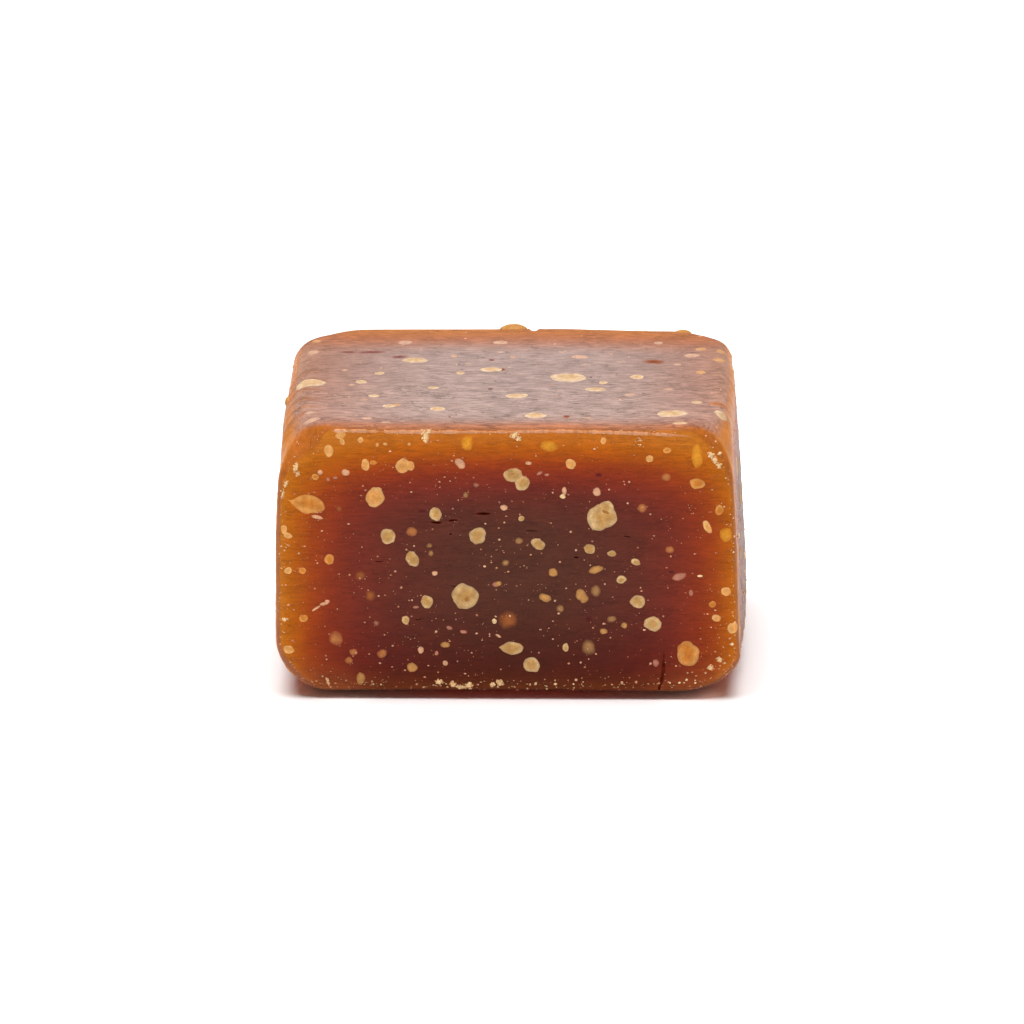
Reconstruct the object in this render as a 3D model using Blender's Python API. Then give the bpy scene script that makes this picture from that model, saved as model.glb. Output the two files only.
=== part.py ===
"""Jaggery block: a moulded block of cane sugar with drafted sides and a flat, sharper-rimmed front face.

Metres, +Z up. The origin is the middle of the block's outer box, on the plane it rests on.
+X runs along the flat front face, +Y from the front face to the back.
"""

import math

import bmesh
import bpy
from mathutils import Matrix, Vector, noise

MM = 0.001

# Overall size, with the bulges of the walls
WIDTH = 60.0 * MM
DEPTH = 56.0 * MM
HEIGHT = 35.8 * MM

# Bulges: of the side walls at half depth, and of the back wall at half width
RIGHT_BULGE = 1.2 * MM
LEFT_BULGE = 0.2 * MM
BULGE_HEIGHT = 15.5 * MM
BULGE_SPREAD = 19.0 * MM
RIGHT_FLARE = 0.25 * MM
BACK_BOW = 1.0 * MM

# The plain block that the bulges are added to
BASE_WIDTH = 59.0 * MM
BASE_DEPTH = DEPTH - BACK_BOW

# Rounding of the outline seen from the front: each corner's radius along X, then along Z
BOTTOM_LEFT = (6.4 * MM, 7.4 * MM)
BOTTOM_RIGHT = (8.7 * MM, 5.3 * MM)
TOP_LEFT = (2.8 * MM, 3.2 * MM)
TOP_RIGHT = (2.0 * MM, 2.4 * MM)

# The top corners widen into shoulders at the front and at the back
FRONT_LEFT_SHOULDER = (6.5 * MM, 8.1 * MM)
FRONT_RIGHT_SHOULDER = (6.0 * MM, 7.5 * MM)
BACK_LEFT_SHOULDER = (10.6 * MM, 6.4 * MM)
BACK_RIGHT_SHOULDER = (8.9 * MM, 8.6 * MM)
SHOULDER_REACH = 9.0 * MM

# Rim radii, where that outline meets the front and the back face: at the sides, the top and the bottom
FRONT_RIM = (1.2 * MM, 1.0 * MM, 0.8 * MM)
BACK_RIM = (6.5 * MM, 3.2 * MM, 3.0 * MM)

# How much wider the front rim is at each corner of the face
TOP_LEFT_EXTRA = 2.6 * MM
TOP_RIGHT_EXTRA = 1.0 * MM
BOTTOM_LEFT_EXTRA = 0.9 * MM
BOTTOM_RIGHT_EXTRA = 1.1 * MM

# Lean of the walls: how far each has moved in at the top, and the power by which that grows with height
LEFT_LEAN = 1.15 * MM
LEFT_LEAN_POWER = 5.5
RIGHT_LEAN = 1.6 * MM
RIGHT_LEAN_POWER = 1.0
BACK_LEAN = 0.85 * MM

# The shallow bevel that lifts the underside in front
FRONT_LIFT = 1.2 * MM
FRONT_LIFT_REACH = 6.5 * MM
FRONT_LIFT_FADE = HEIGHT / 3

# Unevenness of the surface
WAVE_LENGTH = 13.0 * MM
WAVE_DEPTH = 0.22 * MM
WAVE_SHIFTS = (Vector((0, 0, 0)), Vector((7, 0, 0)), Vector((0, 9, 0)))
LEVEL_BASE = 3.0 * MM

# Mesh: cuts along each edge of the starting cube, and how far they crowd towards its edges
CUTS = 25
CROWDING = 0.62
LEVEL_TOLERANCE = 0.001 * MM
PEBBLE_RINGS = 6

# Small features: the middle on the outer surface, then the full sizes along X, Y and Z
BACK_LUMP_AT = (-0.4 * MM, 25.2 * MM, HEIGHT - 0.5 * MM)
BACK_LUMP_SIZE = (3.8 * MM, 3.0 * MM, 1.7 * MM)
BACK_NOTCH_AT = (2.3 * MM, 26.0 * MM, HEIGHT)
BACK_NOTCH_SIZE = (1.5 * MM, 6.0 * MM, 1.8 * MM)
CORNER_LUMP_AT = (21.8 * MM, 23.9 * MM, HEIGHT - 0.7 * MM)
CORNER_LUMP_SIZE = (2.4 * MM, 2.4 * MM, 1.3 * MM)
SIDE_LUMP_AT = (-28.7 * MM, -5.0 * MM, 33.0 * MM)
SIDE_LUMP_SIZE = (1.2 * MM, 2.6 * MM, 1.5 * MM)

# A short leaning crack that opens through the front face's lower edge
CRACK_X = 19.2 * MM
CRACK_LOW = 1.0 * MM
CRACK_TOP = 5.6 * MM
CRACK_WIDTH = 0.4 * MM
CRACK_DEPTH = 1.0 * MM
CRACK_LEAN = math.radians(8)

# A shallow leaf-shaped crease in the right wall
CREASE_AT = (30.0 * MM, 0.0 * MM, 15.7 * MM)
CREASE_SIZE = (1.2 * MM, 8.0 * MM, 1.4 * MM)

# Material
AMBER_BROWN = (0.36, 0.115, 0.035, 1.0)
ROUGHNESS = 0.38


def clear_scene():
    for obj in list(bpy.data.objects):
        bpy.data.objects.remove(obj, do_unlink=True)


def new_collection(name):
    collection = bpy.data.collections.new(name)
    bpy.context.scene.collection.children.link(collection)
    return collection


def jaggery_material():
    material = bpy.data.materials.new("jaggery")
    material.use_nodes = True
    shader = material.node_tree.nodes["Principled BSDF"]
    shader.inputs["Base Color"].default_value = AMBER_BROWN
    shader.inputs["Roughness"].default_value = ROUGHNESS
    shader.inputs["Metallic"].default_value = 0.0
    return material


def smooth(t):
    t = min(max(t, 0.0), 1.0)
    return t * t * (3.0 - 2.0 * t)


def crowd(t):
    """Moves a cube coordinate from -1 to 1 outwards, so that the mesh is finest along the rims."""
    return t * (1.0 + CROWDING * (1.0 - abs(t)))


def square_to_round(a, b):
    """Takes a point of the unit square's corner to the unit circle, keeping how far out it is."""
    length = math.hypot(a, b)
    if length == 0.0:
        return a, b
    scale = max(abs(a), abs(b)) / length
    return a * scale, b * scale


def blend(low, high, share):
    return low + (high - low) * share


def corner_radii(p):
    """The front outline's corner at p: the top corners widen into shoulders at both ends."""
    left, front = p.x < 0.0, p.y < 0.0
    if p.z < HEIGHT / 2:
        return BOTTOM_LEFT if left else BOTTOM_RIGHT
    narrow = TOP_LEFT if left else TOP_RIGHT
    if front:
        wide = FRONT_LEFT_SHOULDER if left else FRONT_RIGHT_SHOULDER
    else:
        wide = BACK_LEFT_SHOULDER if left else BACK_RIGHT_SHOULDER
    share = 1.0 - smooth((BASE_DEPTH / 2 - abs(p.y)) / SHOULDER_REACH)
    return blend(narrow[0], wide[0], share), blend(narrow[1], wide[1], share)


def corner_place(p):
    """Where p lies in its corner of the outline: -1 or 1 for each side, and 0 to 1 across each radius."""
    radius_x, radius_z = corner_radii(p)
    side = math.copysign(1.0, p.x)
    up = -1.0 if p.z < HEIGHT / 2 else 1.0
    to_side = BASE_WIDTH / 2 - abs(p.x)
    to_end = p.z if up < 0.0 else HEIGHT - p.z
    return side, up, 1.0 - to_side / radius_x, 1.0 - to_end / radius_z


def round_outline(p):
    """Rounds the block as seen from the front."""
    radius_x, radius_z = corner_radii(p)
    side, up, out_x, out_z = corner_place(p)
    if out_x <= 0.0 or out_z <= 0.0:
        return p
    out_x, out_z = square_to_round(out_x, out_z)
    end = HEIGHT if up > 0.0 else 0.0
    x = side * (BASE_WIDTH / 2 - radius_x * (1.0 - out_x))
    return Vector((x, p.y, end - up * radius_z * (1.0 - out_z)))


def outline_distance(p):
    """How far a point lies inside the rounded outline, and the outline's outward direction there."""
    radius_x, radius_z = corner_radii(p)
    side, up, out_x, out_z = corner_place(p)
    if out_x > 0.0 and out_z > 0.0:
        out = math.hypot(out_x, out_z)
        radius = (radius_x * out_x * out_x + radius_z * out_z * out_z) / (out * out)
        outward = Vector((side * out_x / radius_x, 0.0, up * out_z / radius_z))
        return radius * (1.0 - out), outward.normalized()
    to_side = radius_x * (1.0 - out_x)
    to_end = radius_z * (1.0 - out_z)
    if to_side < to_end:
        return to_side, Vector((side, 0.0, 0.0))
    return to_end, Vector((0.0, 0.0, up))


def rim_radius(p, outward):
    """The rim's radius at p: it changes round the outline, and the front rim widens at the face's corners."""
    side, top, bottom = FRONT_RIM if p.y < 0.0 else BACK_RIM
    radius = blend(top if outward.z > 0.0 else bottom, side, outward.x * outward.x)
    if p.y >= 0.0:
        return radius
    top_extra, bottom_extra = TOP_LEFT_EXTRA, BOTTOM_LEFT_EXTRA
    if p.x > 0.0:
        top_extra, bottom_extra = TOP_RIGHT_EXTRA, BOTTOM_RIGHT_EXTRA
    cornering = 4.0 * outward.x**2 * outward.z**2
    return radius + (top_extra if outward.z > 0.0 else bottom_extra) * cornering


def round_rim(p):
    """Rounds the edge where the outline meets the front face or the back face."""
    inset, outward = outline_distance(p)
    radius = rim_radius(p, outward)
    from_end = BASE_DEPTH / 2 - abs(p.y)
    if inset >= radius or from_end >= radius:
        return p
    across, along = square_to_round(1.0 - inset / radius, 1.0 - from_end / radius)
    moved = p - outward * (radius * (1.0 - across) - inset)
    moved.y = math.copysign(BASE_DEPTH / 2 - radius * (1.0 - along), p.y)
    return moved


def lean_and_bulge(p):
    """Leans the walls inwards towards the top, and lets the sides bulge at half depth."""
    rise = p.z / HEIGHT
    to_back = smooth(p.y / (BASE_DEPTH / 2))
    outer = min(abs(p.x) / (BASE_WIDTH / 2), 1.0)
    by_height = math.exp(-(((p.z - BULGE_HEIGHT) / BULGE_SPREAD) ** 2))
    by_depth = math.cos(math.pi * p.y / BASE_DEPTH) ** 2
    if p.x > 0.0:
        push = RIGHT_BULGE * by_height * by_depth + RIGHT_FLARE * to_back
        x = p.x - RIGHT_LEAN * rise**RIGHT_LEAN_POWER * outer + push * smooth(outer) ** 2
    else:
        push = LEFT_BULGE * by_height * by_depth * smooth(outer) ** 2
        x = p.x + LEFT_LEAN * rise**LEFT_LEAN_POWER * outer - push
    back_push = BACK_BOW * (1.0 - outer * outer) - BACK_LEAN * rise
    return Vector((x, p.y + back_push * to_back, p.z))


def lift_front(p):
    """Raises the underside towards the front face, so that the block stands a little behind it."""
    share = 1.0 - min((p.y + BASE_DEPTH / 2) / FRONT_LIFT_REACH, 1.0)
    fade = 1.0 - smooth(p.z / FRONT_LIFT_FADE)
    return Vector((p.x, p.y, p.z + FRONT_LIFT * share * fade))


def wave(p):
    """Slow unevenness of every face but the underside."""
    drift = Vector([noise.noise(p / WAVE_LENGTH + shift) for shift in WAVE_SHIFTS])
    return p + drift * WAVE_DEPTH * smooth(p.z / LEVEL_BASE)


def shape_block(bm):
    """Turns the cube from -1 to 1 into the block."""
    for vertex in bm.verts:
        u, v, w = (crowd(t) for t in vertex.co)
        p = Vector((u * BASE_WIDTH / 2, v * BASE_DEPTH / 2, (w + 1.0) * HEIGHT / 2))
        p = round_rim(round_outline(p))
        vertex.co = lift_front(wave(lean_and_bulge(p)))


def fit_to_size(bm):
    """Brings the outer box to the stated size, with its middle on the origin and its underside at zero."""
    low = Vector([min(v.co[i] for v in bm.verts) for i in range(3)])
    high = Vector([max(v.co[i] for v in bm.verts) for i in range(3)])
    size = high - low
    middle = (low + high) / 2
    scale = Matrix.Diagonal((WIDTH / size.x, DEPTH / size.y, HEIGHT / size.z))
    for vertex in bm.verts:
        vertex.co = scale @ (vertex.co - Vector((middle.x, middle.y, low.z)))


def join_underside(bm):
    """Makes the level underside one face."""
    under = [f for f in bm.faces if all(abs(v.co.z) < LEVEL_TOLERANCE for v in f.verts)]
    for face in under:
        for vertex in face.verts:
            vertex.co.z = 0.0
    bmesh.ops.dissolve_faces(bm, faces=under, use_verts=True)


def make_block(collection, material):
    bm = bmesh.new()
    bmesh.ops.create_cube(bm, size=2.0)
    bmesh.ops.subdivide_edges(bm, edges=bm.edges[:], cuts=CUTS, use_grid_fill=True)
    shape_block(bm)
    fit_to_size(bm)
    join_underside(bm)
    mesh = bpy.data.meshes.new("jaggery_block")
    bm.to_mesh(mesh)
    bm.free()
    mesh.shade_smooth()
    mesh.materials.append(material)
    block = bpy.data.objects.new("jaggery_block", mesh)
    collection.objects.link(block)
    return block


def make_pebble(name, at, size, collection):
    """A small rounded solid used to add or cut away material."""
    mesh = bpy.data.meshes.new(name)
    bm = bmesh.new()
    bmesh.ops.create_uvsphere(bm, u_segments=2 * PEBBLE_RINGS, v_segments=PEBBLE_RINGS, radius=0.5)
    bmesh.ops.scale(bm, vec=size, verts=bm.verts)
    bm.to_mesh(mesh)
    bm.free()
    pebble = bpy.data.objects.new(name, mesh)
    pebble.location = at
    pebble.hide_render = True
    pebble.display_type = "WIRE"
    collection.objects.link(pebble)
    return pebble


def join_or_cut(block, tool, operation):
    modifier = block.modifiers.new(tool.name, "BOOLEAN")
    modifier.object = tool
    modifier.operation = operation
    modifier.solver = "EXACT"


def main():
    clear_scene()
    parts = new_collection("jaggery_block")
    tools = new_collection("cutters")
    block = make_block(parts, jaggery_material())

    lumps = (
        ("back_lump", BACK_LUMP_AT, BACK_LUMP_SIZE),
        ("corner_lump", CORNER_LUMP_AT, CORNER_LUMP_SIZE),
        ("side_lump", SIDE_LUMP_AT, SIDE_LUMP_SIZE),
    )
    for name, at, size in lumps:
        join_or_cut(block, make_pebble(name, at, size, tools), "UNION")

    join_or_cut(block, make_pebble("back_notch", BACK_NOTCH_AT, BACK_NOTCH_SIZE, tools), "DIFFERENCE")
    join_or_cut(block, make_pebble("side_crease", CREASE_AT, CREASE_SIZE, tools), "DIFFERENCE")

    crack_at = (CRACK_X, -DEPTH / 2, (CRACK_LOW + CRACK_TOP) / 2)
    crack_size = (CRACK_WIDTH, 2.0 * CRACK_DEPTH, CRACK_TOP - CRACK_LOW)
    crack = make_pebble("front_crack", crack_at, crack_size, tools)
    crack.rotation_euler.y = CRACK_LEAN
    join_or_cut(block, crack, "DIFFERENCE")


main()
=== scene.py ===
"""Looks of the jaggery block: its waxy, amber-edged skin, the sugar crumbs set into it, and its studio.

Metres, +Z up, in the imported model's frame: +X along the flat front face, +Y from front to back.
"""

import math
import random

import bmesh
import bpy
import numpy as np
from mathutils import Matrix, Vector, noise
from mathutils.bvhtree import BVHTree
from mathutils.kdtree import KDTree


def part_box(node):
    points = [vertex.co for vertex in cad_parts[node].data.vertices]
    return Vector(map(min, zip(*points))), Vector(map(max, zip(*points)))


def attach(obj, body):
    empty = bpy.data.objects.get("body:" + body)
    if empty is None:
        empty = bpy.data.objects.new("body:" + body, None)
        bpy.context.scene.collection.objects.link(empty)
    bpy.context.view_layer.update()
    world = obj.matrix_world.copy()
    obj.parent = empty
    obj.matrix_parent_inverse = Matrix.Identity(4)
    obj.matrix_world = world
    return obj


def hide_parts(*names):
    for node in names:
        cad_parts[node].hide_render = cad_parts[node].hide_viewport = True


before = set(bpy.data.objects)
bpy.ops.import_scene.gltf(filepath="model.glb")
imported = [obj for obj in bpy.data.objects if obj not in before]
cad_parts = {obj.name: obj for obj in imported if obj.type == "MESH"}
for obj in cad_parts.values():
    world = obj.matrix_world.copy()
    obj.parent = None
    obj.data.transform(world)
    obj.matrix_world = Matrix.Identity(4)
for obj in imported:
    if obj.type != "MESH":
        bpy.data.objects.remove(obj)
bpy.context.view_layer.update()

MM = 0.001

# ---- the block's form, as in the frame
cad_low, cad_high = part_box("jaggery_block")
WIDTH = cad_high.x - cad_low.x
DEPTH = cad_high.y - cad_low.y
LUMP_RISE = 0.35 * MM
HEIGHT = cad_high.z - LUMP_RISE

RIGHT_BULGE = 1.2 * MM
LEFT_BULGE = 0.2 * MM
BULGE_HEIGHT = 15.5 * MM
BULGE_SPREAD = 19.0 * MM
RIGHT_FLARE = 0.25 * MM
BACK_BOW = 1.0 * MM

BASE_WIDTH = WIDTH - 1.0 * MM
BASE_DEPTH = DEPTH - BACK_BOW

# Corner radii of the outline seen from the front, along X and Z
BOTTOM_LEFT = (6.4 * MM, 7.4 * MM)
BOTTOM_RIGHT = (8.7 * MM, 5.3 * MM)
TOP_LEFT = (2.8 * MM, 3.2 * MM)
TOP_RIGHT = (2.0 * MM, 2.4 * MM)
FRONT_LEFT_SHOULDER = (6.5 * MM, 8.1 * MM)
FRONT_RIGHT_SHOULDER = (6.0 * MM, 7.5 * MM)
BACK_LEFT_SHOULDER = (10.6 * MM, 6.4 * MM)
BACK_RIGHT_SHOULDER = (8.9 * MM, 8.6 * MM)
SHOULDER_REACH = 9.0 * MM

# Rim radii, where that outline meets the front and the back face: at the sides, the top and the bottom
FRONT_RIM = (1.2 * MM, 1.0 * MM, 0.5 * MM)
BACK_RIM = (6.5 * MM, 3.2 * MM, 3.0 * MM)
# How much wider the front rim is at each corner of the face: top left, top right, bottom left, bottom right
CORNER_RIM = np.array([[2.6 * MM, 1.0 * MM], [0.9 * MM, 1.1 * MM]])

LEFT_LEAN = 1.15 * MM
LEFT_LEAN_POWER = 5.5
RIGHT_LEAN = 1.6 * MM
RIGHT_LEAN_POWER = 1.0
BACK_LEAN = 0.85 * MM

FRONT_LIFT = 1.2 * MM
FRONT_LIFT_REACH = 6.5 * MM

WAVE_LENGTH = 13.0 * MM
WAVE_DEPTH = 0.22 * MM
LEVEL_BASE = 3.0 * MM

# The mesh of the skin: steps along X, Y and Z, and how far they crowd towards the rims
STEPS = (156, 156, 94)
CROWDING = 0.35


def smooth(t):
    t = np.clip(t, 0.0, 1.0)
    return t * t * (3.0 - 2.0 * t)


def step(value, start, end):
    """Goes smoothly from 0 at the start to 1 at the end."""
    return smooth((value - start) / (end - start))


def blend(low, high, share):
    return low + (high - low) * share


def square_to_round(a, b):
    """Takes points of the unit square's corner to the unit circle, keeping how far out they are."""
    length = np.maximum(np.hypot(a, b), 1e-12)
    scale = np.maximum(abs(a), abs(b)) / length
    return a * scale, b * scale


def corner_place(p):
    """Each point's corner radii, its side and end, and its place from 0 to 1 across the radii."""
    left = p[:, :1] < 0.0
    low = p[:, 2] < HEIGHT / 2
    share = 1.0 - smooth((BASE_DEPTH / 2 - abs(p[:, 1:2])) / SHOULDER_REACH)
    front_shoulder = np.where(left, FRONT_LEFT_SHOULDER, FRONT_RIGHT_SHOULDER)
    back_shoulder = np.where(left, BACK_LEFT_SHOULDER, BACK_RIGHT_SHOULDER)
    shoulder = np.where(p[:, 1:2] < 0.0, front_shoulder, back_shoulder)
    top = blend(np.where(left, TOP_LEFT, TOP_RIGHT), shoulder, share)
    bottom = np.where(left, BOTTOM_LEFT, BOTTOM_RIGHT)
    radius_x, radius_z = np.where(low[:, None], bottom, top).T
    side = np.where(p[:, 0] < 0.0, -1.0, 1.0)
    up = np.where(low, -1.0, 1.0)
    to_side = BASE_WIDTH / 2 - abs(p[:, 0])
    to_end = np.where(low, p[:, 2], HEIGHT - p[:, 2])
    return radius_x, radius_z, side, up, 1.0 - to_side / radius_x, 1.0 - to_end / radius_z


def round_outline(p):
    """Rounds the block as seen from the front."""
    radius_x, radius_z, side, up, out_x, out_z = corner_place(p)
    round_x, round_z = square_to_round(out_x, out_z)
    end = np.where(up > 0.0, HEIGHT, 0.0)
    x = side * (BASE_WIDTH / 2 - radius_x * (1.0 - round_x))
    z = end - up * radius_z * (1.0 - round_z)
    in_corner = ((out_x > 0.0) & (out_z > 0.0))[:, None]
    return np.where(in_corner, np.stack([x, p[:, 1], z], axis=1), p)


def outline_distance(p):
    """How far each point lies inside the rounded outline, and the outline's outward direction there."""
    radius_x, radius_z, side, up, out_x, out_z = corner_place(p)
    in_corner = (out_x > 0.0) & (out_z > 0.0)
    out = np.maximum(np.hypot(out_x, out_z), 1e-12)
    radius = (radius_x * out_x**2 + radius_z * out_z**2) / out**2
    to_side = radius_x * (1.0 - out_x)
    to_end = radius_z * (1.0 - out_z)
    inset = np.where(in_corner, radius * (1.0 - out), np.minimum(to_side, to_end))
    x = np.where(in_corner, side * out_x / radius_x, np.where(to_side < to_end, side, 0.0))
    z = np.where(in_corner, up * out_z / radius_z, np.where(to_side < to_end, 0.0, up))
    length = np.maximum(np.hypot(x, z), 1e-12)
    return inset, np.stack([x / length, np.zeros(len(p)), z / length], axis=1)


def round_rim(p):
    """Rounds the edge where the outline meets the front face or the back face."""
    inset, outward = outline_distance(p)
    rim_side, rim_top, rim_bottom = np.where(p[:, 1:2] < 0.0, FRONT_RIM, BACK_RIM).T
    rim_end = np.where(outward[:, 2] > 0.0, rim_top, rim_bottom)
    corner = CORNER_RIM[(outward[:, 2] < 0.0).astype(int), (p[:, 0] > 0.0).astype(int)]
    cornering = np.where(p[:, 1] < 0.0, 4.0 * outward[:, 0] ** 2 * outward[:, 2] ** 2, 0.0)
    radius = blend(rim_end, rim_side, outward[:, 0] ** 2) + corner * cornering
    from_end = BASE_DEPTH / 2 - abs(p[:, 1])
    across, along = square_to_round(1.0 - inset / radius, 1.0 - from_end / radius)
    moved = p - outward * (radius * (1.0 - across) - inset)[:, None]
    moved[:, 1] = np.copysign(BASE_DEPTH / 2 - radius * (1.0 - along), p[:, 1])
    in_rim = ((inset < radius) & (from_end < radius))[:, None]
    return np.where(in_rim, moved, p)


def lean_and_bulge(p):
    """Leans the walls inwards towards the top, and lets the sides bulge at half depth."""
    x, y, z = p.T
    rise = np.maximum(z, 0.0) / HEIGHT
    to_back = smooth(y / (BASE_DEPTH / 2))
    outer = np.minimum(abs(x) / (BASE_WIDTH / 2), 1.0)
    by_height = np.exp(-(((z - BULGE_HEIGHT) / BULGE_SPREAD) ** 2))
    by_depth = np.cos(math.pi * y / BASE_DEPTH) ** 2
    to_side = smooth(outer) ** 2
    right_push = (RIGHT_BULGE * by_height * by_depth + RIGHT_FLARE * to_back) * to_side
    left_push = LEFT_BULGE * by_height * by_depth * to_side
    right = x - RIGHT_LEAN * rise**RIGHT_LEAN_POWER * outer + right_push
    left = x + LEFT_LEAN * rise**LEFT_LEAN_POWER * outer - left_push
    back_push = BACK_BOW * (1.0 - outer * outer) - BACK_LEAN * rise
    return np.stack([np.where(x > 0.0, right, left), y + back_push * to_back, z], axis=1)


def lift_front(p):
    """Raises the underside towards the front face."""
    share = 1.0 - np.minimum((p[:, 1] + BASE_DEPTH / 2) / FRONT_LIFT_REACH, 1.0)
    fade = 1.0 - smooth(p[:, 2] / (HEIGHT / 3))
    lifted = p.copy()
    lifted[:, 2] += FRONT_LIFT * share * fade
    return lifted


def perlin(p, grain, shift=0.0):
    """Smooth noise from about -1 to 1, whose blobs have the sizes `grain` along X, Y and Z."""
    points = p / np.array(grain) + shift
    return np.array([noise.noise(point) for point in points.tolist()])


def wave(p):
    """Slow unevenness of every face but the underside."""
    grain = (WAVE_LENGTH,) * 3
    drift = [perlin(p, grain, shift) for shift in ((0, 0, 0), (7, 0, 0), (0, 9, 0))]
    return p + np.stack(drift, axis=1) * (WAVE_DEPTH * smooth(p[:, 2] / LEVEL_BASE))[:, None]


def fit_to_size(p):
    low, high = p.min(0), p.max(0)
    middle = np.array([(low[0] + high[0]) / 2, (low[1] + high[1]) / 2, low[2]])
    return (p - middle) * np.array([WIDTH, DEPTH, HEIGHT]) / (high - low)


def block_surface(cube):
    """The block's smooth surface, from points of the cube's surface from -1 to 1."""
    crowded = cube * (1.0 + CROWDING * (1.0 - abs(cube)))
    p = (crowded + np.array([0.0, 0.0, 1.0])) * np.array([BASE_WIDTH, BASE_DEPTH, HEIGHT]) / 2
    p = round_rim(round_outline(p))
    return fit_to_size(lift_front(wave(lean_and_bulge(p))))


# ---- relief of the skin
WRINKLE_GRAIN = (8.0 * MM, 1.7 * MM, 4.0 * MM)
WRINKLE_HEIGHT = 0.07 * MM
RIPPLE_GRAIN = (5.0 * MM, 5.0 * MM, 0.9 * MM)
RIPPLE_HEIGHT = 0.03 * MM
RIB_SPACING = 4.8 * MM
RIB_WANDER = (14.0 * MM, 9.0 * MM, 14.0 * MM)
RIB_HEIGHT = 0.11 * MM
# How far in from the side the ribs reach, and how strong they are
LEFT_RIBS = (7.0 * MM, 1.0)
RIGHT_RIBS = (4.0 * MM, 0.3)


def ribs(p):
    """The folds over both shoulders: their wave from -1 to 1, and their strength at each point."""
    x, y, z = p.T
    wave_at = np.cos(math.tau * (y / RIB_SPACING + 0.9 * perlin(p, RIB_WANDER, 3.0)))
    reach, strength = np.where(x[:, None] < 0.0, LEFT_RIBS, RIGHT_RIBS).T
    near_side = smooth((abs(x) - WIDTH / 2 + reach) / (0.6 * reach))
    near_top = step(z, HEIGHT - 9.0 * MM, HEIGHT - 3.0 * MM)
    in_front = step(y, 8.0 * MM, -2.0 * MM) * step(y + DEPTH / 2, 1.0 * MM, 3.0 * MM)
    return wave_at, near_side * near_top * in_front * strength


def relief(p, n):
    """How far the skin stands out: creases along X on the top, level ripples on the walls, and the ribs."""
    wrinkles = abs(perlin(p, WRINKLE_GRAIN)) * WRINKLE_HEIGHT
    ripples = perlin(p, RIPPLE_GRAIN) * RIPPLE_HEIGHT * smooth(p[:, 2] / (2.0 * MM))
    wave_at, strength = ribs(p)
    return blend(ripples, wrinkles, step(n[:, 2], 0.5, 0.9)) + wave_at * strength * RIB_HEIGHT


# ---- meshes
def cube_of_grids(steps):
    """A cube from -1 to 1 whose faces are grids of the given steps along X, Y and Z."""
    bm = bmesh.new()
    turns = (
        (steps[0], steps[1], Matrix.Identity(3)),
        (steps[0], steps[2], Matrix(((1, 0, 0), (0, 0, -1), (0, 1, 0)))),
        (steps[1], steps[2], Matrix(((0, 0, 1), (1, 0, 0), (0, 1, 0)))),
    )
    for across, along, turn in turns:
        for end in (1.0, -1.0):
            flip = Matrix.Diagonal((1.0, end, end))
            place = (turn @ flip).to_4x4() @ Matrix.Translation((0.0, 0.0, 1.0))
            bmesh.ops.create_grid(bm, x_segments=across, y_segments=along, size=1.0, matrix=place)
    bmesh.ops.remove_doubles(bm, verts=bm.verts, dist=1e-5)
    bmesh.ops.recalc_face_normals(bm, faces=bm.faces)
    return bm


def join_underside(bm):
    """Makes the level underside one face."""
    level = 0.001 * MM
    under = [face for face in bm.faces if all(abs(vertex.co.z) < level for vertex in face.verts)]
    bmesh.ops.dissolve_faces(bm, faces=under, use_verts=True)


def rows(data, key, width=3):
    """One value of each vertex, or of other mesh data, as an array with a row for each."""
    flat = np.zeros(len(data) * width, np.float32)
    data.foreach_get(key, flat)
    return flat.reshape(-1, width).astype(float)


def surface_of(mesh):
    """The places and the outward directions of a mesh's vertices."""
    return rows(mesh.vertices, "co"), rows(mesh.vertex_normals, "vector")


def nearest(places, points):
    """For each point, the index of the nearest of the places."""
    tree = KDTree(len(places))
    for index, place in enumerate(places.tolist()):
        tree.insert(place, index)
    tree.balance()
    return np.array([tree.find(point)[1] for point in points.tolist()])


def set_coordinates(mesh, points):
    mesh.vertices.foreach_set("co", points.astype(np.float32).ravel())
    mesh.update()


def add_attribute(mesh, name, values):
    """Stores one number or one colour for each vertex."""
    if values.ndim == 1:
        attribute = mesh.attributes.new(name, "FLOAT", "POINT")
        attribute.data.foreach_set("value", values.astype(np.float32))
    else:
        attribute = mesh.attributes.new(name, "FLOAT_COLOR", "POINT")
        rgba = np.concatenate([values, np.ones((len(values), 1))], axis=1)
        attribute.data.foreach_set("color", rgba.astype(np.float32).ravel())


def add_object(name, mesh):
    obj = bpy.data.objects.new(name, mesh)
    bpy.context.scene.collection.objects.link(obj)
    return obj


# ---- colours
def srgb(*values):
    """Linear colour from sRGB values of 0 to 255."""
    c = np.array(values, float) / 255.0
    return np.where(c <= 0.04045, c / 12.92, ((c + 0.055) / 1.055) ** 2.4)


# The skin's colour by how much light soaks through from the nearest edges
GLOW_COLOURS = (
    (0.00, srgb(80, 24, 9)),
    (0.22, srgb(97, 25, 14)),
    (0.40, srgb(116, 31, 17)),
    (0.60, srgb(139, 44, 12)),
    (0.75, srgb(158, 62, 7)),
    (0.865, srgb(177, 87, 5)),
    (0.93, srgb(188, 101, 8)),
    (1.00, srgb(198, 120, 34)),
)
# Painted reflection: a grey haze laid over the unlit middle of the walls, which fades from this height
# down, where painted shade makes them darker
REFLECTION_HAZE = np.array([0.012, 0.019, 0.013])
LOW_TO_Z = 15.5 * MM
LOW_SHADE = 0.14
# How much less green the walls are under the top edge, where they turn from plum to amber
UPPER_REDDER = 0.14
# How far in light soaks from each edge
LEFT_GLOW_REACH = 11.5 * MM
LEFT_GLOW_AT_FOOT = 0.86
RIGHT_GLOW_REACH = 10.5 * MM
TOP_GLOW_REACH = 8.1 * MM
TOP_GLOW_POWER = 2.4
BOTTOM_GLOW_REACH = 3.0 * MM
BOTTOM_GLOW = 0.18
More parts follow.
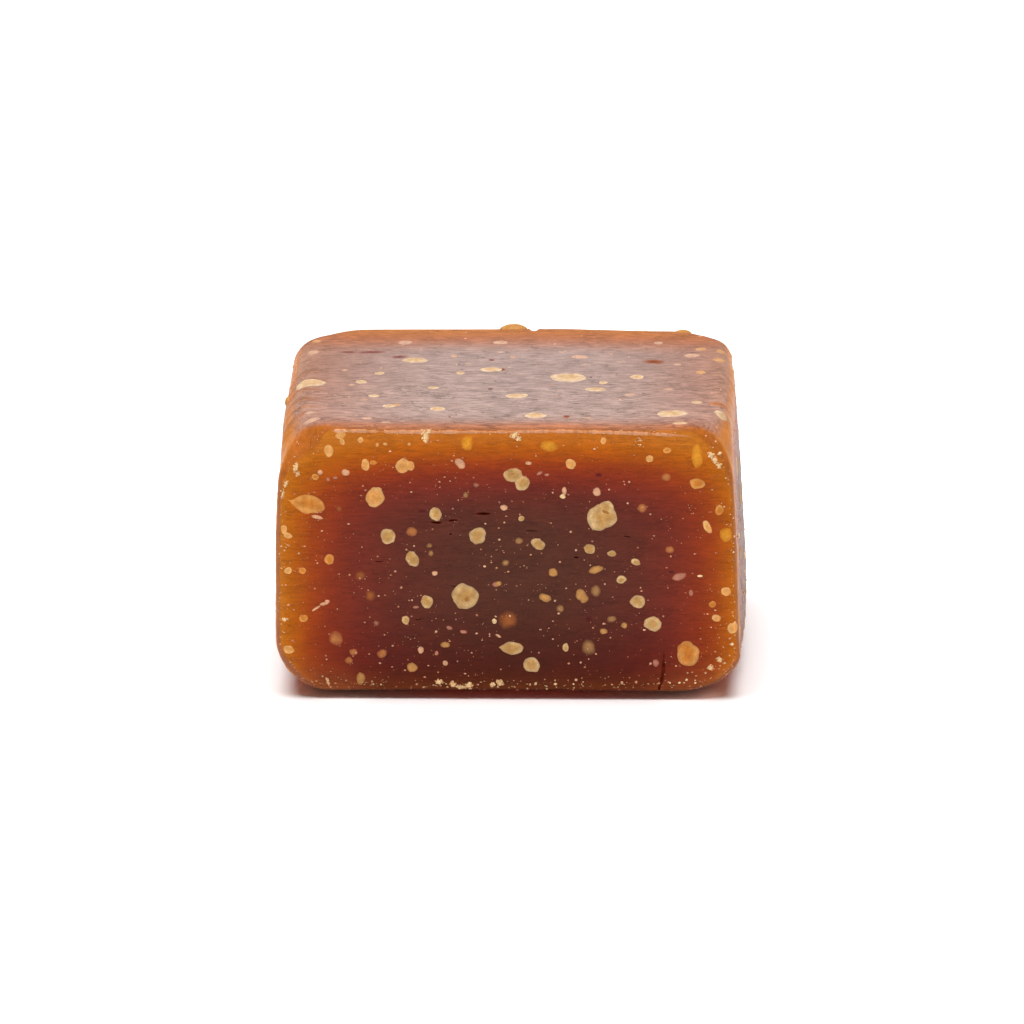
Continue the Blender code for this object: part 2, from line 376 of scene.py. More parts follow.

# Painted light soaking in at the foot of the walls: an amber-brown band, paler and reaching higher at the
# corners
FOOT_GLOW_COLOURS = (srgb(126, 68, 14), srgb(154, 94, 50))
FOOT_GLOW_CORNER = (14.0 * MM, 26.0 * MM)
FOOT_GLOW_STRENGTH = 0.62
FOOT_GLOW_REACH = 2.4 * MM

# The dusty top, its sugar bloom carrying a painted grazing sheen: in the middle and near its sides, at the
# back and in front, then its margins and edges
TOP_BLOOM_AND_SHEEN = (srgb(153, 130, 123), srgb(158, 134, 126))
SIDE_MARGIN = (srgb(146, 104, 88), srgb(159, 118, 104))
BLOOM_AND_SHEEN_FRONT = (6.0 * MM, -24.0 * MM)
SIDE_MARGIN_REACH = 12.5 * MM
# Painted sheen: the top turns paler along its side edges
SIDE_EDGE_SHEEN = srgb(172, 130, 106)
SIDE_EDGE_SHEEN_REACH = 3.4 * MM
TOP_MARGIN = srgb(156, 93, 60)
BACK_MARGIN_REACH = 13.4 * MM
FRONT_MARGIN_REACH = 2.6 * MM
BACK_EDGE = srgb(170, 106, 54)
BACK_EDGE_REACH = 6.5 * MM
RIB_ORANGE = srgb(150, 88, 48)
RIB_COVER = 0.6

# The rim of the front face: its colours by share of the height, and the orange of its upper corners
RIM_COLOURS = (
    (0.12, srgb(152, 86, 50)),
    (0.30, srgb(168, 102, 56)),
    (0.70, srgb(168, 102, 56)),
    (0.90, srgb(160, 98, 64)),
)
RIM_CORNER = srgb(172, 94, 32)
RIM_CORNER_X = (19.0 * MM, 24.0 * MM)
RIM_CORNER_HEIGHT = (0.65, 0.85)
RIM_DEPTH = (5.0 * MM, 3.0 * MM)
# How squarely the skin faces the front where the rim starts: on the left, on the right and at the top,
# and the shares of the height between which the top takes over
RIM_FACING = (0.93, 0.80, 0.985)
RIM_TOP = (0.74, 0.84)
# Painted shade: the downward-facing lip under the front face is dark maroon, less so where light soaks in
# from the sides
UNDERSIDE_SHADE = srgb(60, 16, 3)
LIP_TO_Y = -DEPTH / 2 + 2.5 * MM
CUT_COLOUR = tuple(srgb(108, 36, 12))


def ramp(values, stops):
    places = [place for place, _ in stops]
    channels = np.array([colour for _, colour in stops]).T
    return np.stack([np.interp(values, places, channel) for channel in channels], axis=1)


def cover(colours, colour, share):
    """Lays a colour over the colours of the points, by each point's share."""
    return blend(colours, colour, share[:, None])


def edge_glow(distance, reach, power=1.4):
    return np.exp(-((np.maximum(distance, 0.0) / reach) ** power))


def side_glow(x, z):
    """The light that soaks in from the left and the right wall."""
    left_reach = LEFT_GLOW_REACH * blend(LEFT_GLOW_AT_FOOT, 1.0, smooth(z / LOW_TO_Z))
    return np.maximum(edge_glow(WIDTH / 2 + x, left_reach), edge_glow(WIDTH / 2 - x, RIGHT_GLOW_REACH))


def wall_colour(p, n):
    """The walls: amber where light soaks through, plum brown within with a painted reflection haze and
    painted shade low down, and painted soaked-in light at the foot.
    """
    x, y, z = p.T
    off_x, off_y, off_z = (1.0 - n**4).T
    high = smooth(z / LOW_TO_Z)
    sides = side_glow(x, z)
    ends = np.maximum(edge_glow(DEPTH / 2 + y, LEFT_GLOW_REACH), edge_glow(DEPTH / 2 - y, RIGHT_GLOW_REACH))
    upper = edge_glow(HEIGHT - z, TOP_GLOW_REACH, TOP_GLOW_POWER)
    lower = BOTTOM_GLOW * edge_glow(z, BOTTOM_GLOW_REACH)
    dark = (1.0 - sides * off_x) * (1.0 - ends * off_y) * (1.0 - upper * off_z) * (1.0 - lower * off_z)
    # Amber where light soaks in, with a painted reflection haze over the unlit middle and painted shade low
    # down
    wall = ramp(1.0 - dark, GLOW_COLOURS) + REFLECTION_HAZE * (dark * high)[:, None]
    wall[:, 1] *= 1.0 - UPPER_REDDER * upper * (1.0 - sides)
    wall *= 1.0 - LOW_SHADE * (dark * (1.0 - high))[:, None]
    # Painted light soaking in at the foot, paler and higher towards the corners
    corner = step(abs(x), *FOOT_GLOW_CORNER)
    foot_glow = FOOT_GLOW_STRENGTH * edge_glow(z, FOOT_GLOW_REACH * (1.0 + 0.5 * corner), 2.0)
    return cover(wall, cover(*FOOT_GLOW_COLOURS, corner), foot_glow)


def top_colour(p):
    """The top: a dusty lilac bloom with a painted grazing sheen, a painted sheen along its side edges,
    brown towards the margins and amber at the back.
    """
    x, y, _ = p.T
    from_side, from_back = WIDTH / 2 - abs(x), DEPTH / 2 - y
    to_front = step(y, *BLOOM_AND_SHEEN_FRONT)
    to_sides = sum(edge_glow(off, SIDE_MARGIN_REACH, 2.0) for off in (from_side, WIDTH - from_side))
    to_ends = edge_glow(from_back, BACK_MARGIN_REACH, 5.0) + edge_glow(DEPTH / 2 + y, FRONT_MARGIN_REACH)
    side_margin = cover(*SIDE_MARGIN, to_front**2)
    # The sugar bloom with its painted grazing sheen, giving way to the margins
    top = cover(cover(*TOP_BLOOM_AND_SHEEN, to_front), side_margin, np.minimum(to_sides, 1.0))
    # Painted sheen along the side edges
    top = cover(top, SIDE_EDGE_SHEEN, edge_glow(from_side, SIDE_EDGE_SHEEN_REACH, 2.0))
    top = cover(top, TOP_MARGIN, np.minimum(to_ends, 1.0))
    return cover(top, BACK_EDGE, edge_glow(from_back, BACK_EDGE_REACH, 3.0))


def cover_rim(skin, p, n):
    """Colours the bend between the front face and its neighbours."""
    x, y, z = p.T
    left, right, top = RIM_FACING
    facing = blend(np.where(x > 0.0, right, left), top, step(z / HEIGHT, *RIM_TOP))
    bend = smooth((n[:, 1] + facing) / 0.16) * step(-n[:, 1], 0.25, 0.60)
    at_corner = step(abs(x), *RIM_CORNER_X) * step(z / HEIGHT, *RIM_CORNER_HEIGHT)
    rim = cover(ramp(z / HEIGHT, RIM_COLOURS), RIM_CORNER, at_corner)
    return cover(skin, rim, bend * step(y + DEPTH / 2, *RIM_DEPTH))


def skin_colour(p, n):
    """The skin's colour at points p with outward directions n."""
    x, y, z = p.T
    skin = cover(wall_colour(p, n), top_colour(p), step(n[:, 2], 0.45, 0.85))
    wave_at, strength = ribs(p)
    skin = cover(skin, RIB_ORANGE, strength * smooth(wave_at) * RIB_COVER)
    # Painted shade on the lip under the front face
    lip_shade = step(-n[:, 2], 0.3, 0.6) * smooth((LIP_TO_Y - y) / MM) * (1.0 - side_glow(x, z))
    return cover(cover_rim(skin, p, n), UNDERSIDE_SHADE, lip_shade)


# ---- materials
class Nodes:
    """Builds one material's nodes."""

    def __init__(self, name, roughness, specular):
        self.material = bpy.data.materials.new(name)
        self.material.use_nodes = True
        self.tree = self.material.node_tree
        self.shader = self.tree.nodes["Principled BSDF"]
        self.feed(self.shader, Roughness=roughness, Specular_IOR_Level=specular)

    def add(self, kind, **settings):
        node = self.tree.nodes.new(kind)
        for key, value in settings.items():
            setattr(node, key, value)
        return node

    def feed(self, node, **values):
        """Sets or links a node's inputs, named with _ for spaces."""
        for key, value in values.items():
            socket = node.inputs[int(key[1:])] if key[1:].isdigit() else node.inputs[key.replace("_", " ")]
            if isinstance(value, bpy.types.NodeSocket):
                self.tree.links.new(value, socket)
            else:
                socket.default_value = value
        return node

    def calculate(self, operation, first, second):
        """One step of arithmetic."""
        return self.feed(self.add("ShaderNodeMath", operation=operation), _0=first, _1=second).outputs[0]

    def product(self, first, *others):
        for other in others:
            first = self.calculate("MULTIPLY", first, other)
        return first

    def curve(self, value, from_low, from_high, to_low, to_high):
        """Maps a value from one range to another."""
        node = self.add("ShaderNodeMapRange", interpolation_type="SMOOTHSTEP")
        return self.feed(node, _0=value, _1=from_low, _2=from_high, _3=to_low, _4=to_high).outputs[0]

    def vary(self, grain, low, high):
        """Maps noise to a range."""
        return self.curve(grain, 0.3, 0.7, low, high)

    def mix(self, share, first, second):
        return self.feed(self.add("ShaderNodeMix"), _0=share, _2=first, _3=second).outputs[0]

    def attribute(self, name, output="Fac"):
        """What is stored on the mesh under a name."""
        return self.add("ShaderNodeAttribute", attribute_name=name).outputs[output]

    def height(self):
        """The height above the floor in metres."""
        place = self.add("ShaderNodeTexCoord").outputs["Object"]
        return self.feed(self.add("ShaderNodeSeparateXYZ"), Vector=place).outputs["Z"]

    def grain(self, size, detail, distortion=0.0):
        """Noise whose blobs have the given sizes in mm along X, Y and Z."""
        place = self.add("ShaderNodeTexCoord").outputs["Object"]
        scaled = self.add("ShaderNodeVectorMath", operation="DIVIDE")
        self.feed(scaled, _0=place, _1=tuple(length * MM for length in size))
        blobs = self.add("ShaderNodeTexNoise")
        self.feed(blobs, Vector=scaled.outputs[0], Scale=1.0, Detail=detail)
        return self.feed(blobs, Roughness=0.6, Distortion=distortion).outputs[0]

    def paint(self, tint, shade):
        """Sets the colour: the tint, made darker or lighter by the shade."""
        colour = self.add("ShaderNodeVectorMath", operation="SCALE")
        self.feed(self.shader, Base_Color=self.feed(colour, _0=tint, Scale=shade).outputs[0])

    def roughen(self, height, distance, roughness):
        """Sets the fine bumps and the roughness."""
        bump = self.feed(self.add("ShaderNodeBump"), Height=height, Distance=distance, Strength=1.0)
        self.feed(self.shader, Normal=bump.outputs[0], Roughness=roughness)


def jaggery_material():
    """Waxy skin: streaks along X on the top and the front, upright ones on the sides, mottling, painted
    shade in creases, bumps.
    """
    nodes = Nodes("jaggery", roughness=0.42, specular=0.09)
    nodes.feed(nodes.shader, Sheen_Weight=0.13, Sheen_Roughness=0.35, Sheen_Tint=(1.0, 0.82, 0.68, 1.0))
    top, side = nodes.attribute("top"), nodes.attribute("side")
    streaks = nodes.mix(side, nodes.grain((1.8, 0.55, 0.26), 4.0), nodes.grain((0.3, 0.6, 2.6), 4.0))
    level_lines = nodes.grain((2.4, 0.75, 0.42), 2.0, distortion=0.4)
    lines = nodes.mix(side, level_lines, nodes.grain((0.5, 1.2, 3.6), 2.0, distortion=0.4))
    patches = nodes.grain((3.6, 3.2, 1.6), 2.0)
    mottling = nodes.grain((3.2, 3.2, 1.8), 4.0)
    speckle = nodes.grain((0.16, 0.16, 0.16), 1.0)

    off_line = nodes.calculate("ABSOLUTE", nodes.calculate("SUBTRACT", lines, 0.5), 0.0)
    in_patches = nodes.curve(patches, 0.42, 0.6, 0.0, 1.0)
    creases = nodes.product(nodes.curve(off_line, 0.04, 0.0, 0.0, 1.0), in_patches)
    # Painted shade in the creases, stronger on the top
    crease_shade = nodes.product(creases, nodes.curve(top, 0.0, 1.0, 0.14, 0.50))
    low = nodes.curve(nodes.height(), 0.3 * HEIGHT, 0.75 * HEIGHT, 1.0, 0.0)
    wall_streaks = nodes.mix(low, nodes.vary(streaks, 0.89, 1.11), nodes.vary(streaks, 0.93, 1.06))
    top_streaks = nodes.curve(streaks, 0.36, 0.64, 0.78, 1.18)
    shade = nodes.product(
        nodes.mix(top, wall_streaks, top_streaks),
        nodes.vary(mottling, 0.92, 1.08),
        nodes.vary(speckle, 0.92, 1.08),
        nodes.calculate("SUBTRACT", 1.0, crease_shade),
    )
    nodes.paint(nodes.attribute("tint", "Color"), shade)
    height = nodes.calculate("SUBTRACT", streaks, nodes.product(creases, 0.5))
    nodes.roughen(height, 0.06 * MM, nodes.vary(mottling, 0.36, 0.50))
    return nodes.material


def cut_material():
    """The dark inside of the crack and the slits."""
    nodes = Nodes("cut_jaggery", roughness=0.5, specular=0.1)
    nodes.paint(CUT_COLOUR, nodes.vary(nodes.grain((0.5, 0.5, 0.3), 3.0), 0.6, 1.5))
    return nodes.material


def crumb_material(name, bump_height):
    """Dull sugar grains: the mesh's own tint, mottled, with a grainy surface."""
    nodes = Nodes(name, roughness=0.6, specular=0.15)
    blotches = nodes.grain((0.7, 0.7, 0.7), 3.0)
    grains = nodes.grain((0.18, 0.18, 0.18), 2.0)
    shade = nodes.product(nodes.vary(blotches, 0.84, 1.13), nodes.vary(grains, 0.9, 1.1))
    nodes.paint(nodes.attribute("tint", "Color"), shade)
    nodes.roughen(grains, bump_height, nodes.vary(blotches, 0.5, 0.7))
    return nodes.material


# ---- the block
# Cuts in the skin, in mm: the middle and the full sizes along X, Y and Z, and the lean in degrees, if any
CRACK = ((19.2, -28.0, 3.5), (0.5, 1.0, 6.2), 8.0)
CRACK_BOW = 0.4
NOTCH = ((2.3, 26.0, 35.8), (1.5, 6.0, 1.8))
CREASE = ((30.0, 0.0, 15.7), (1.2, 8.0, 1.4))
SLIT_DEPTH = 0.6
# Slits in the front: x, z, length, height in mm, and the lean in degrees, if any
FRONT_SLITS = (
    (-3.5, 24.3, 2.1, 0.38), (-9.4, 23.1, 1.6, 0.36, 5.0), (-7.3, 23.4, 1.4, 0.34, -5.0),
    (-7.6, 21.6, 0.4, 0.26), (2.6, 22.1, 1.6, 0.13), (-16.6, 18.0, 1.2, 0.13), (-11.7, 10.5, 0.7, 0.18),
    (8.2, 18.7, 0.6, 0.18), (-7.2, 14.8, 1.0, 0.12, 10.0), (14.6, 21.4, 1.1, 0.12, 8.0),
)
# Pits in the top: x, y, length, width in mm
TOP_PITS = (
    (-3.0, 7.5, 0.9, 0.9), (-2.9, -8.3, 0.8, 0.7), (-7.8, -23.1, 0.4, 0.5), (-7.0, -21.9, 0.3, 0.4),
    (9.9, -2.0, 0.35, 0.5),
)
SHARP_FROM = math.radians(38.0)
STREAKY_FRONT = (10.0 * MM, -20.0 * MM)


def add_pebble(bm, middle, size, lean=0.0, bow=0.0):
    """Adds an ellipsoid; its ends may bow along X."""
    pebble = bmesh.ops.create_uvsphere(bm, u_segments=16, v_segments=12, radius=0.5)["verts"]
    bmesh.ops.scale(bm, vec=Vector(size) * MM, verts=pebble)
    for vertex in pebble:
        vertex.co.x -= bow * MM * (vertex.co.z / (size[2] / 2 * MM)) ** 2
    bmesh.ops.rotate(bm, matrix=Matrix.Rotation(math.radians(lean), 3, "Y"), verts=pebble)
    bmesh.ops.translate(bm, vec=Vector(middle) * MM, verts=pebble)


def cut(body, name, pebbles, material=None):
    """Cuts the pebbles out of the body, and gives the cut faces the material."""
    bm = bmesh.new()
    for pebble in pebbles:
        add_pebble(bm, *pebble)
    mesh = bpy.data.meshes.new(name)
    bm.to_mesh(mesh)
    bm.free()
    if material:
        mesh.materials.append(material)
    cutter = add_object(name, mesh)
    modifier = body.modifiers.new(name, "BOOLEAN")
    modifier.object = cutter
    modifier.operation = "DIFFERENCE"
    modifier.solver = "EXACT"
    modifier.material_mode = "TRANSFER" if material else "INDEX"
    result = bpy.data.meshes.new_from_object(body.evaluated_get(bpy.context.evaluated_depsgraph_get()))
    body.modifiers.clear()
    body.data = result
    bpy.data.objects.remove(cutter)


def make_block():
    bm = cube_of_grids(STEPS)
    mesh = bpy.data.meshes.new("jaggery_body")
    bm.to_mesh(mesh)
    cube, _ = surface_of(mesh)
    set_coordinates(mesh, block_surface(cube))
    p, n = surface_of(mesh)
    set_coordinates(mesh, p + n * relief(p, n)[:, None])
    bm.clear()
    bm.from_mesh(mesh)
    join_underside(bm)
    bm.to_mesh(mesh)
    bm.free()
    mesh.materials.append(jaggery_material())
    body = add_object("jaggery_body", mesh)
    whole_places, whole_normals = surface_of(mesh)

    cut(body, "hollows", [NOTCH, CREASE])
    slits = [(*CRACK, CRACK_BOW)]
    for x, z, length, tall, *lean in FRONT_SLITS:
        slits.append(((x, -DEPTH / 2 / MM, z), (length, SLIT_DEPTH * 2, tall), *lean))
    for x, y, length, wide in TOP_PITS:
        slits.append(((x, y, HEIGHT / MM), (length, wide, SLIT_DEPTH)))
    cut(body, "slits", slits, cut_material())

    mesh = body.data
    mesh.name = "jaggery_body"
    mesh.shade_smooth()
    mesh.set_sharp_from_angle(angle=SHARP_FROM)
    p, _ = surface_of(mesh)
    n = whole_normals[nearest(whole_places, p)]
    add_attribute(mesh, "tint", skin_colour(p, n))
    # The streaks of the top are at half strength at the back
    streaky = blend(0.5, 1.0, step(p[:, 1], *STREAKY_FRONT))
    add_attribute(mesh, "top", step(n[:, 2], 0.5, 0.9) * streaky)
    add_attribute(mesh, "side", step(abs(n[:, 0]), 0.25, 0.50))
    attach(body, "root")
    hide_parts("jaggery_block")
    return body, cube


# ---- sugar crumbs
class Skin:
    """The finished body as a surface to lay crumbs on."""

    def __init__(self, body):
        mesh = body.data
        corners = [tuple(face.vertices) for face in mesh.polygons]
        self.tree = BVHTree.FromPolygons([vertex.co for vertex in mesh.vertices], corners)
        self.first_corners = [face[0] for face in corners]
        self.tints = rows(mesh.attributes["tint"].data, "color", 4)[:, :3]

    def at(self, point):
        """The nearest place on the skin, its outward direction and its colour."""
        place, outward, face, _ = self.tree.find_nearest(point)
        return place, outward, self.tints[self.first_corners[face]]

    def frame(self, point, turn):
        """The nearest place on the skin, its outward direction, and two directions along it."""
        place, outward, _ = self.at(point)
        across = Vector((0.0, 0.0, 1.0)).cross(outward) if abs(outward.z) < 0.8 else Vector((1.0, 0.0, 0.0))
        across = (across - outward * across.dot(outward)).normalized()
        turned = Matrix.Rotation(math.radians(turn), 3, outward) @ across
        return place, outward, turned, outward.cross(turned)


class Pile:
    """Many small shapes joined into one mesh."""

    def __init__(self):
        self.points = []
        self.faces = []
        self.colours = []

    def add(self, points, faces, colours):
        start = len(self.points)
        self.points += points
        self.faces += [tuple(start + corner for corner in face) for face in faces]
        self.colours += colours

    def piece(self, name, material, bump_height, slot="sugar_crumbs"):
        """Makes the pile one piece of the block."""
        mesh = bpy.data.meshes.new(name)
        mesh.from_pydata(self.points, [], self.faces)
        mesh.shade_smooth()
        add_attribute(mesh, "tint", np.array(self.colours))
        mesh.materials.append(crumb_material(material, bump_height))
        piece = add_object(name, mesh)
        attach(piece, "root")


class Kind:
    """A kind of crumb: its colours in the middle and at the rim, how soft its rim is, how far it rises."""

    def __init__(self, core, rim, softness, rise=0.07):
        self.core = srgb(*core)
        self.rim = srgb(*rim)
        self.softness = softness
        self.rise = rise * MM


# The kinds; those of the top are paler or darker, for its dusty bloom and its painted grazing sheen
KINDS = {
    "cream": Kind((192, 144, 82), (232, 194, 138), 0.5),
    "gold": Kind((198, 142, 78), (190, 136, 78), 0.65),
    "pale": Kind((240, 200, 142), (244, 210, 158), 0.15, 0.12),
    "honey": Kind((226, 156, 82), (238, 184, 116), 0.4, 0.09),
    "amber": Kind((204, 122, 42), (232, 166, 88), 0.5),
    "yellow": Kind((224, 148, 38), (212, 130, 28), 0.6),
    "sunk": Kind((160, 90, 42), (138, 72, 30), 1.0, 0.02),
    "dull": Kind((170, 122, 74), (140, 98, 60), 0.9, 0.03),
    "pink": Kind((222, 166, 126), (224, 170, 132), 0.55),
    "clay": Kind((186, 116, 62), (166, 92, 50), 0.75, 0.03),
    "rose": Kind((186, 122, 98), (176, 108, 88), 0.5, 0.03),
    "blood": Kind((84, 14, 12), (92, 22, 18), 1.0, 0.01),
    "spot": Kind((172, 112, 50), (196, 150, 92), 0.0, 0.11),
    "faint": Kind((172, 112, 84), (150, 96, 76), 1.0, 0.02),
    "top_rust": Kind((156, 92, 50), (168, 112, 78), 0.7, 0.01),
    "top_cream": Kind((184, 149, 110), (200, 172, 140), 0.3),
    "top_pink": Kind((182, 140, 116), (184, 148, 126), 0.5),
    "top_amber": Kind((184, 136, 90), (182, 136, 96), 0.5),
    "top_faint": Kind((172, 142, 126), (164, 134, 120), 1.0, 0.02),
    "top_red": Kind((118, 58, 26), (136, 84, 60), 0.8, 0.02),
    "top_dark": Kind((106, 56, 50), (124, 82, 74), 1.0, 0.01),
}
RED_KINDS = ("top_red", "top_dark", "blood")
AMBER_KINDS = ("amber", "yellow", "sunk", "clay", "spot", "top_amber", "top_rust")
# Random crumbs: the kinds well inside a face, and those near its edges
INNER_KINDS = ("cream", "cream", "gold", "gold", "dull", "sunk", "pale")
OUTER_KINDS = ("amber", "amber", "yellow", "pink", "sunk", "honey")
# A crumb's rings as shares of its size, and the last one, which lies below the skin
RINGS = (0.3, 0.55, 0.75, 0.88, 0.95, 1.0)
SUNK_RING = 1.05
SUNK_DEPTH = 0.12 * MM
PATCH_SIZE = 1.1 * MM
PATCH_STRENGTH = 0.6
# How much its outline wanders, in waves from two to eleven round it
WANDER = 0.065
CRUST_WANDER = 0.2
WAVES = range(2, 12)


def dome_faces(rings, spokes):
    """The faces of a dome: a fan round its top, then rings of quads."""
    faces = [(0, 1 + spoke, 1 + (spoke + 1) % spokes) for spoke in range(spokes)]
    for inner in range(1, 1 + (rings - 1) * spokes, spokes):
        for spoke in range(spokes):
            following = (spoke + 1) % spokes
            outer = inner + spokes
            faces.append((inner + spoke, outer + spoke, outer + following, inner + following))
    return faces


def lay_crumb(pile, skin, at, width, height, turn, kind, rng, spokes, taper=0.0, wander=WANDER):
    """Lays one domed crumb on the skin: sizes in mm, turn in degrees, and how far its left end narrows."""
    kind = KINDS[kind]
    middle, outward, turned, upward = skin.frame(at, turn)
    lobes = [(k, wander * rng.uniform(0.4, 1.0) * 2.2 / k, rng.uniform(0.0, math.tau)) for k in WAVES]
    tone = rng.uniform(0.94, 1.04)
    drift = Vector((rng.uniform(0.0, 50.0), 0.0, 0.0))

    points = [middle + outward * kind.rise]
    colours = [kind.core * tone]
    for ring in (*RINGS, SUNK_RING):
        lift = kind.rise * (1.0 - ring**4) if ring <= 1.0 else -SUNK_DEPTH
        for spoke in range(spokes):
            angle = math.tau * spoke / spokes
            out = ring * (1.0 + sum(size * math.cos(k * angle + start) for k, size, start in lobes))
            u = out * math.cos(angle)
            v = out * math.sin(angle) * (1.0 - taper * max(-math.cos(angle), 0.0) ** 1.5)
            place = middle + turned * (u * width / 2 * MM) + upward * (v * height / 2 * MM)
            place, facing, tint = skin.at(place)
            points.append(place + facing * lift)
            patch = PATCH_STRENGTH * noise.noise(place / PATCH_SIZE + drift)
            own = blend(kind.core, kind.rim, smooth(1.3 * ring - 0.4 + patch)) * tone
            fade = kind.softness * min(ring, 1.0) ** (2.0 + 6.0 * (1.0 - kind.softness))
            colours.append(blend(own, tint, fade))

    pile.add(points, dome_faces(len(RINGS) + 1, spokes), colours)


